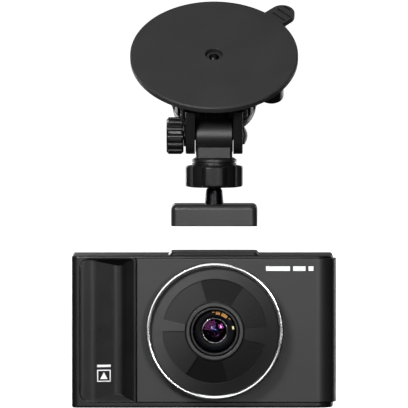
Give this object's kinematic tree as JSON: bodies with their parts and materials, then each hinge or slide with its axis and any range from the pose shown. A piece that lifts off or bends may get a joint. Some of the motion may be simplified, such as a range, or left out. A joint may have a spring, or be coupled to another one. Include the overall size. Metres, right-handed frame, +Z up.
{
  "type": "dash camera",
  "caption": "Compact windscreen dash camera with scooped grip, chrome-ringed wide lens, rear screen and keys, and a lever-lock suction mount with tilt arm, ball joint and magnetic foot.",
  "frame": {"origin": "centre of the suction pad's face, where it meets the windscreen", "axes": "+X to the user's right seen from the lens side, the lens looks along -Y, +Z up; the pad face's normal is tilted 51.2 degrees above -Y"},
  "size_m": [0.086, 0.0494, 0.1315],
  "materials": {
    "pad_rubber": "matte moulded rubber",
    "mount_plastic": "fine-grained black nylon",
    "stem_metal": "dark nickel plating",
    "spring_steel": "drawn spring wire",
    "bolt_steel": "black oxide steel",
    "brass_insert": "turned brass",
    "acetal": "low-friction acetal",
    "magnet": "nickel-plated magnet",
    "case_plastic": "satin black ABS",
    "fascia_plastic": "soft-touch charcoal",
    "grip_plastic": "soft-touch charcoal, darker",
    "chrome_trim": "turned bright chrome",
    "dish_plastic": "satin moulded with textured fields",
    "lens_black": "black anodised",
    "coated_glass": "multi-coated optical glass",
    "filter_glass": "infrared-cut glass",
    "circuit_board": "green solder mask",
    "chip": "moulded epoxy",
    "spreader": "rolled sheet",
    "cell": "foil-wrapped cell",
    "speaker_frame": "moulded",
    "can_metal": "stamped tinplate",
    "card_plastic": "moulded card",
    "screen_stack": "display glass, off",
    "window_plastic": "hard-coated clear over black",
    "key_plastic": "satin key caps"
  },
  "bodies": {
    "mount": {"suction_pad": "pad_rubber", "cup_housing": "mount_plastic", "end_cap": "mount_plastic", "housing_screws": "bolt_steel", "return_spring": "spring_steel", "pivot_bolt": "bolt_steel", "pivot_washer": "bolt_steel"},
    "lock": {"lock_ring": "mount_plastic"},
    "stem": {"pull_stem": "stem_metal", "cross_pin": "bolt_steel"},
    "knob": {"tilt_knob": "mount_plastic", "knob_insert": "brass_insert"},
    "arm": {"swing_arm": "mount_plastic"},
    "nut": {"ring_nut": "mount_plastic"},
    "pan_carrier": {"ball_cup": "acetal"},
    "roll_carrier": {"ball_liner": "acetal"},
    "foot": {"ball_stud": "stem_metal", "foot_shell": "mount_plastic", "foot_base_plate": "mount_plastic", "foot_magnets": "magnet", "stud_screw": "bolt_steel"},
    "camera": {"front_shell": "case_plastic", "front_fascia": "fascia_plastic", "grip_panel": "grip_plastic", "rear_shell": "case_plastic", "dock_plate": "case_plastic", "dock_magnets": "magnet", "lens_turret": "lens_black", "chrome_ring": "chrome_trim", "lens_dish": "dish_plastic", "lens_collar": "dish_plastic", "lens_barrel": "lens_black", "front_lens": "coated_glass", "second_lens": "coated_glass", "rear_lens": "coated_glass", "ir_filter": "filter_glass", "lens_holder": "lens_black", "image_sensor": "chip", "sensor_board": "circuit_board", "board_connector": "chip", "main_board": "circuit_board", "processor": "chip", "heat_spreader": "spreader", "battery": "cell", "speaker": "speaker_frame", "microphone": "can_metal", "card_socket": "can_metal", "usb_socket": "can_metal", "key_switches": "speaker_frame", "lcd_panel": "screen_stack", "lcd_window": "window_plastic", "case_screws": "bolt_steel", "board_screws": "bolt_steel"},
    "card": {"memory_card": "card_plastic"},
    "menu_key_body": {"menu_key": "key_plastic"},
    "up_key_body": {"up_key": "key_plastic"},
    "ok_key_body": {"ok_key": "key_plastic"},
    "down_key_body": {"down_key": "key_plastic"},
    "power_key_body": {"power_key": "key_plastic"}
  },
  "joints": [
    {"name": "lock_ring_turn", "type": "hinge", "parent": "mount", "child": "lock", "pos_m": [0, 0, 0], "axis": [0, -0.6266, 0.7793], "range_deg": [0, 90]},
    {"name": "stem_pull", "type": "slide", "parent": "mount", "child": "stem", "axis": [0, 0.6266, -0.7793], "range_m": [0, 0.0015], "deforming": ["return_spring"]},
    {"name": "arm_tilt", "type": "hinge", "parent": "mount", "child": "arm", "pos_m": [0, -0.00565, -0.02649], "axis": [1, 0, 0], "range_deg": [-38, 35]},
    {"name": "knob_turn", "type": "hinge", "parent": "mount", "child": "knob", "pos_m": [0, -0.00565, -0.02649], "axis": [1, 0, 0], "range_deg": [0, 270]},
    {"name": "ring_nut_turn", "type": "hinge", "parent": "arm", "child": "nut", "pos_m": [0, -0.00565, -0.0395], "axis": [0, 0, 1], "range_deg": [0, 180]},
    {"name": "camera_pan", "type": "hinge", "parent": "arm", "child": "pan_carrier", "pos_m": [0, -0.00565, -0.0395], "axis": [0, 0, 1], "continuous": true},
    {"name": "camera_roll", "type": "hinge", "parent": "pan_carrier", "child": "roll_carrier", "pos_m": [0, -0.00565, -0.0395], "axis": [0, 1, 0], "range_deg": [-15, 15]},
    {"name": "camera_pitch", "type": "hinge", "parent": "roll_carrier", "child": "foot", "pos_m": [0, -0.00565, -0.0395], "axis": [1, 0, 0], "range_deg": [-15, 15]},
    {"name": "camera_dock", "type": "slide", "parent": "foot", "child": "camera", "axis": [0, 0, 1], "range_m": [0, 0.00835]},
    {"name": "card_slide", "type": "slide", "parent": "camera", "child": "card", "axis": [-1, 0, 0], "range_m": [0, 0.012]},
    {"name": "menu_key_press", "type": "slide", "parent": "camera", "child": "menu_key_body", "axis": [0, -1, 0], "range_m": [0, 0.00035], "stiffness_N_per_m": 400, "springref_m": -0.0006},
    {"name": "up_key_press", "type": "slide", "parent": "camera", "child": "up_key_body", "axis": [0, -1, 0], "range_m": [0, 0.00035], "stiffness_N_per_m": 400, "springref_m": -0.0006},
    {"name": "ok_key_press", "type": "slide", "parent": "camera", "child": "ok_key_body", "axis": [0, -1, 0], "range_m": [0, 0.00035], "stiffness_N_per_m": 400, "springref_m": -0.0006},
    {"name": "down_key_press", "type": "slide", "parent": "camera", "child": "down_key_body", "axis": [0, -1, 0], "range_m": [0, 0.00035], "stiffness_N_per_m": 400, "springref_m": -0.0006},
    {"name": "power_key_press", "type": "slide", "parent": "camera", "child": "power_key_body", "axis": [0, -1, 0], "range_m": [0, 0.00035], "stiffness_N_per_m": 400, "springref_m": -0.0006}
  ],
  "couplings": [
    {"joint": "stem_pull", "follows": "lock_ring_turn", "m_per_rad": 0.00095}
  ]
}
